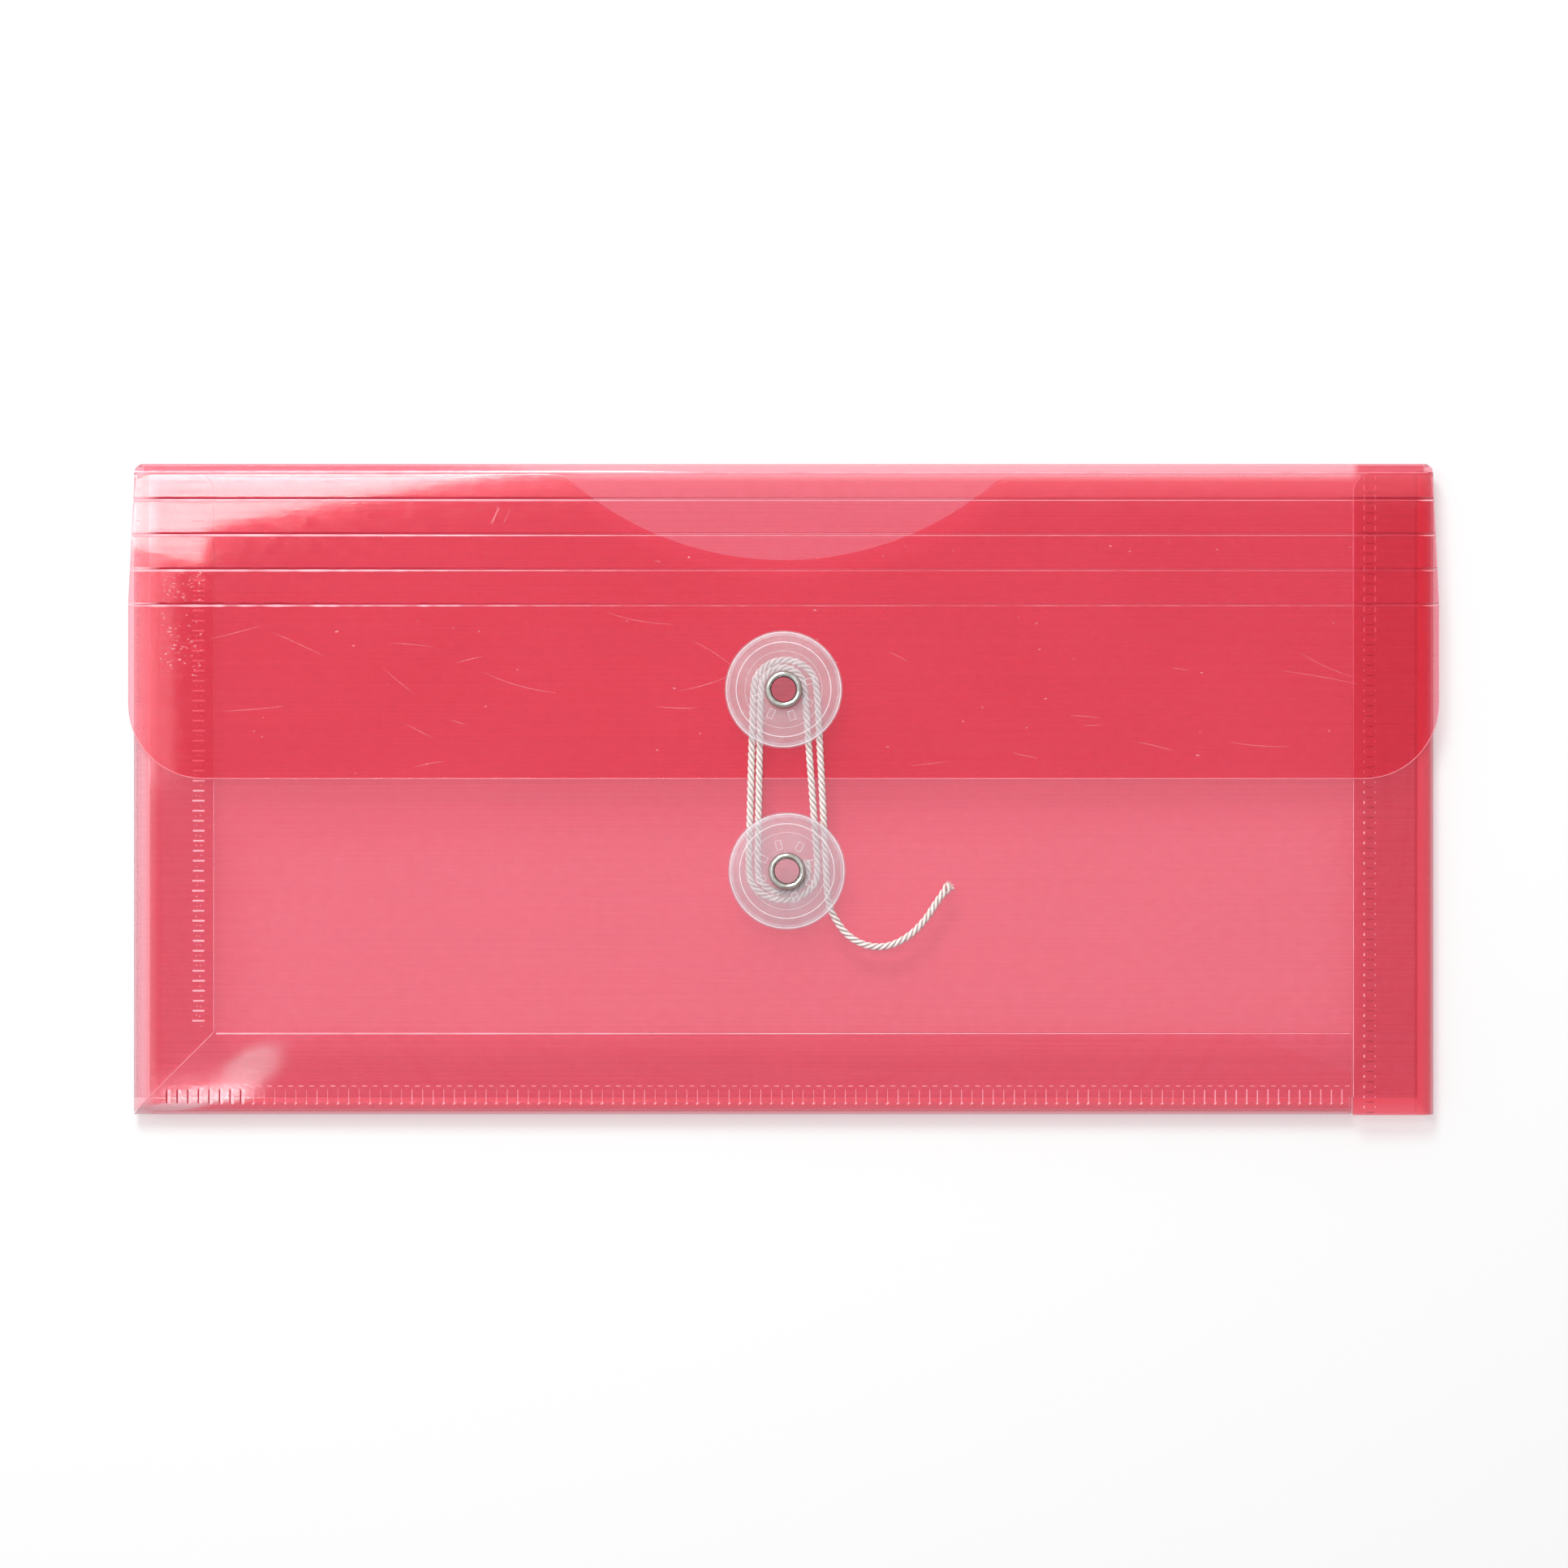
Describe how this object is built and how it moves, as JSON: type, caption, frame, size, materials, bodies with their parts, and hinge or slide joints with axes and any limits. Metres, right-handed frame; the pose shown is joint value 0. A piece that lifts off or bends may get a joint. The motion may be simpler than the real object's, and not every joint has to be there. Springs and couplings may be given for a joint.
{
  "type": "string tie envelope",
  "caption": "Translucent plastic envelope with a creased fold-over flap, welded edge tabs and a cotton string that winds round riveted disc buttons to hold it shut.",
  "frame": {"origin": "under the middle of the back panel, on the surface that the envelope lies on", "axes": "+X along the envelope to the right, +Y up it towards the flap's fold, +Z out of its front"},
  "size_m": [0.2554, 0.127, 0.0121],
  "materials": {
    "red_sheet": "translucent red polypropylene sheet, smooth and slightly hazy",
    "button_plastic": "frosted clear moulded plastic",
    "washer_plastic": "thin clear plastic",
    "eyelet_metal": "bright nickel plate",
    "string_cotton": "twisted off-white cotton"
  },
  "bodies": {
    "pocket": {"back_panel": "red_sheet", "left_side_tab": "red_sheet", "right_side_tab": "red_sheet", "bottom_tab": "red_sheet", "front_panel": "red_sheet", "lower_eyelet": "eyelet_metal", "lower_backing_washer": "washer_plastic", "string_winding": "string_cotton", "string_tail": "string_cotton"},
    "flap_wall": {"flap_wall": "red_sheet"},
    "flap_strip_1": {"flap_strip_1": "red_sheet"},
    "flap_strip_2": {"flap_strip_2": "red_sheet"},
    "flap_strip_3": {"flap_strip_3": "red_sheet"},
    "flap_strip_4": {"flap_strip_4": "red_sheet"},
    "flap": {"flap_panel": "red_sheet", "upper_eyelet": "eyelet_metal", "upper_backing_washer": "washer_plastic"},
    "upper_button": {"upper_button": "button_plastic"},
    "lower_button": {"lower_button": "button_plastic"}
  },
  "joints": [
    {"name": "flap_open", "type": "hinge", "parent": "pocket", "child": "flap_wall", "pos_m": [0, 0.0635, 0.00055], "axis": [-1, 0, 0], "range_deg": [0, 60], "deforming": ["string_winding"]},
    {"name": "flap_top_fold", "type": "hinge", "parent": "flap_wall", "child": "flap_strip_1", "pos_m": [0, 0.06168, 0.00727], "axis": [-1, 0, 0], "range_deg": [0, 60]},
    {"name": "flap_crease_1", "type": "hinge", "parent": "flap_strip_1", "child": "flap_strip_2", "pos_m": [0, 0.05665, 0.0073], "axis": [-1, 0, 0], "range_deg": [0, 15]},
    {"name": "flap_crease_2", "type": "hinge", "parent": "flap_strip_2", "child": "flap_strip_3", "pos_m": [0, 0.0498, 0.0073], "axis": [-1, 0, 0], "range_deg": [0, 15]},
    {"name": "flap_crease_3", "type": "hinge", "parent": "flap_strip_3", "child": "flap_strip_4", "pos_m": [0, 0.04295, 0.0073], "axis": [-1, 0, 0], "range_deg": [0, 15]},
    {"name": "flap_crease_4", "type": "hinge", "parent": "flap_strip_4", "child": "flap", "pos_m": [0, 0.0361, 0.0073], "axis": [-1, 0, 0], "range_deg": [0, 15]},
    {"name": "upper_button_spin", "type": "hinge", "parent": "flap", "child": "upper_button", "pos_m": [0, 0.0194, 0.0073], "axis": [0, 0, 1], "continuous": true},
    {"name": "lower_button_spin", "type": "hinge", "parent": "pocket", "child": "lower_button", "pos_m": [0.00065, -0.0159, 0.006], "axis": [0, 0, 1], "continuous": true}
  ],
  "couplings": [
    {"joint": "flap_top_fold", "follows": "flap_open", "ratio": 1},
    {"joint": "flap_crease_1", "follows": "flap_open", "ratio": 0.25},
    {"joint": "flap_crease_2", "follows": "flap_open", "ratio": 0.25},
    {"joint": "flap_crease_3", "follows": "flap_open", "ratio": 0.25},
    {"joint": "flap_crease_4", "follows": "flap_open", "ratio": 0.25}
  ]
}
